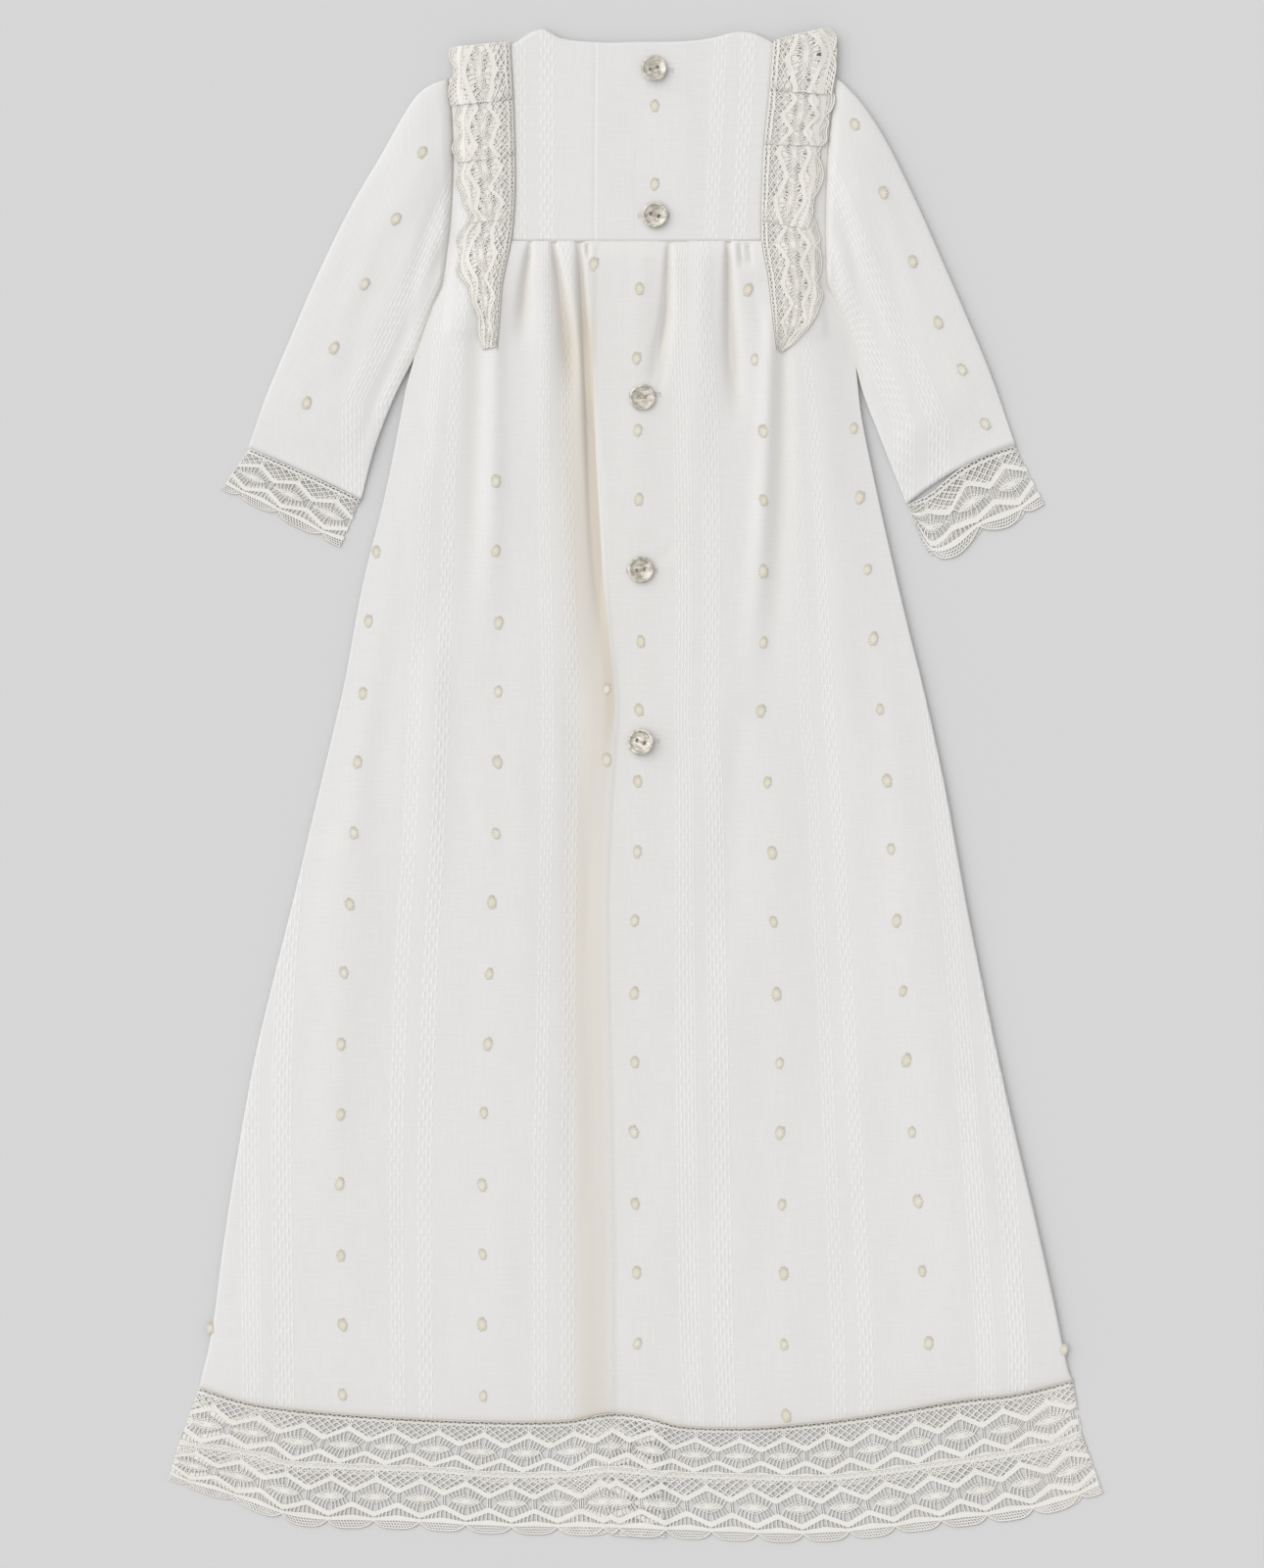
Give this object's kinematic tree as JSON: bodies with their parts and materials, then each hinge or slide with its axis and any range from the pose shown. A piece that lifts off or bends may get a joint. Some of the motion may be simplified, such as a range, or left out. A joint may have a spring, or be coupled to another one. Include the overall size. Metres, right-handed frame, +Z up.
{
  "type": "christening gown",
  "caption": "Long-sleeved infant christening gown in white dobby cotton with lace ruffles, cuffs and hem, laid flat with its buttoned back upwards.",
  "frame": {"origin": "middle of the footprint, on the surface the gown lies on", "axes": "+Y from the hem to the neck, +X to the right seen from above, +Z up, out of the buttoned back"},
  "size_m": [0.4774, 0.7722, 0.01],
  "materials": {
    "striped_cotton": "soft matt white cotton with woven dobby stripes and cream clipped spots",
    "bobbin_lace": "matt ivory cotton bobbin lace",
    "mother_of_pearl": "polished silvery mother-of-pearl"
  },
  "bodies": {
    "root": {"front_body": "striped_cotton", "front_yoke": "striped_cotton", "back_body_left": "striped_cotton", "back_body_right": "striped_cotton", "back_yoke_left": "striped_cotton", "back_yoke_right": "striped_cotton", "sleeve_left": "striped_cotton", "sleeve_right": "striped_cotton", "front_ruffle_left": "bobbin_lace", "front_ruffle_right": "bobbin_lace", "back_ruffle_left": "bobbin_lace", "back_ruffle_right": "bobbin_lace", "front_hem_lace_upper": "bobbin_lace", "front_hem_lace_lower": "bobbin_lace", "back_hem_lace_upper_left": "bobbin_lace", "back_hem_lace_upper_right": "bobbin_lace", "back_hem_lace_lower_left": "bobbin_lace", "back_hem_lace_lower_right": "bobbin_lace", "cuff_lace_left_top": "bobbin_lace", "cuff_lace_left_under": "bobbin_lace", "cuff_lace_right_top": "bobbin_lace", "cuff_lace_right_under": "bobbin_lace", "button_1": "mother_of_pearl", "button_2": "mother_of_pearl", "button_3": "mother_of_pearl", "button_4": "mother_of_pearl", "button_5": "mother_of_pearl"}
  },
  "joints": []
}
